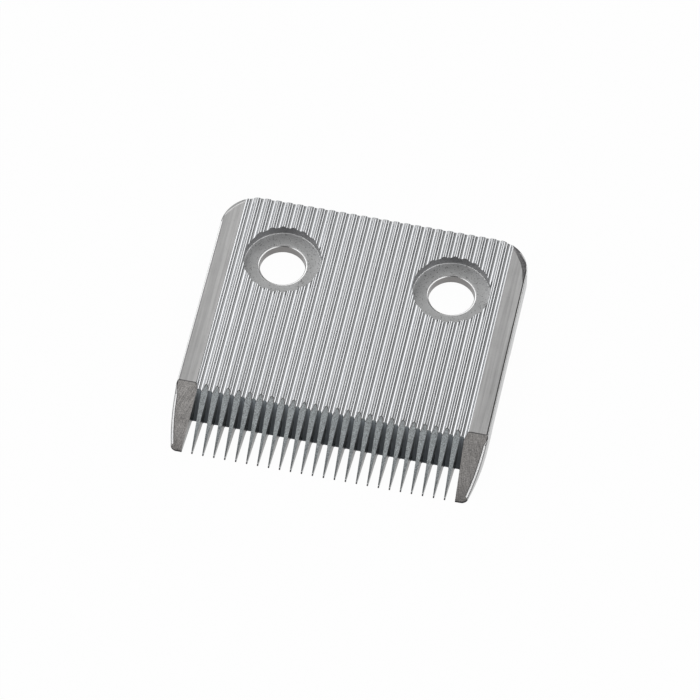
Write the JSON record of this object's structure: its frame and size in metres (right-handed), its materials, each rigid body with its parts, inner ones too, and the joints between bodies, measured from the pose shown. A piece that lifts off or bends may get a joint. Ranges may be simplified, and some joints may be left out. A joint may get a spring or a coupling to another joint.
{
  "type": "hair clipper blade",
  "caption": "Flat steel fixed blade for a hair clipper, with a comb of pointed teeth, a ribbed upper face and counterbored screw holes.",
  "frame": {"origin": "middle of the blade's box on the plane of the underside", "axes": "+X across the blade's width, +Y from the tooth tips to the rear edge, +Z out of the ribbed face"},
  "size_m": [0.0462, 0.0442, 0.0033],
  "materials": {
    "hardened_steel": "ground, brushed lengthwise"
  },
  "bodies": {
    "root": {"clipper_blade": "hardened_steel"}
  },
  "joints": []
}
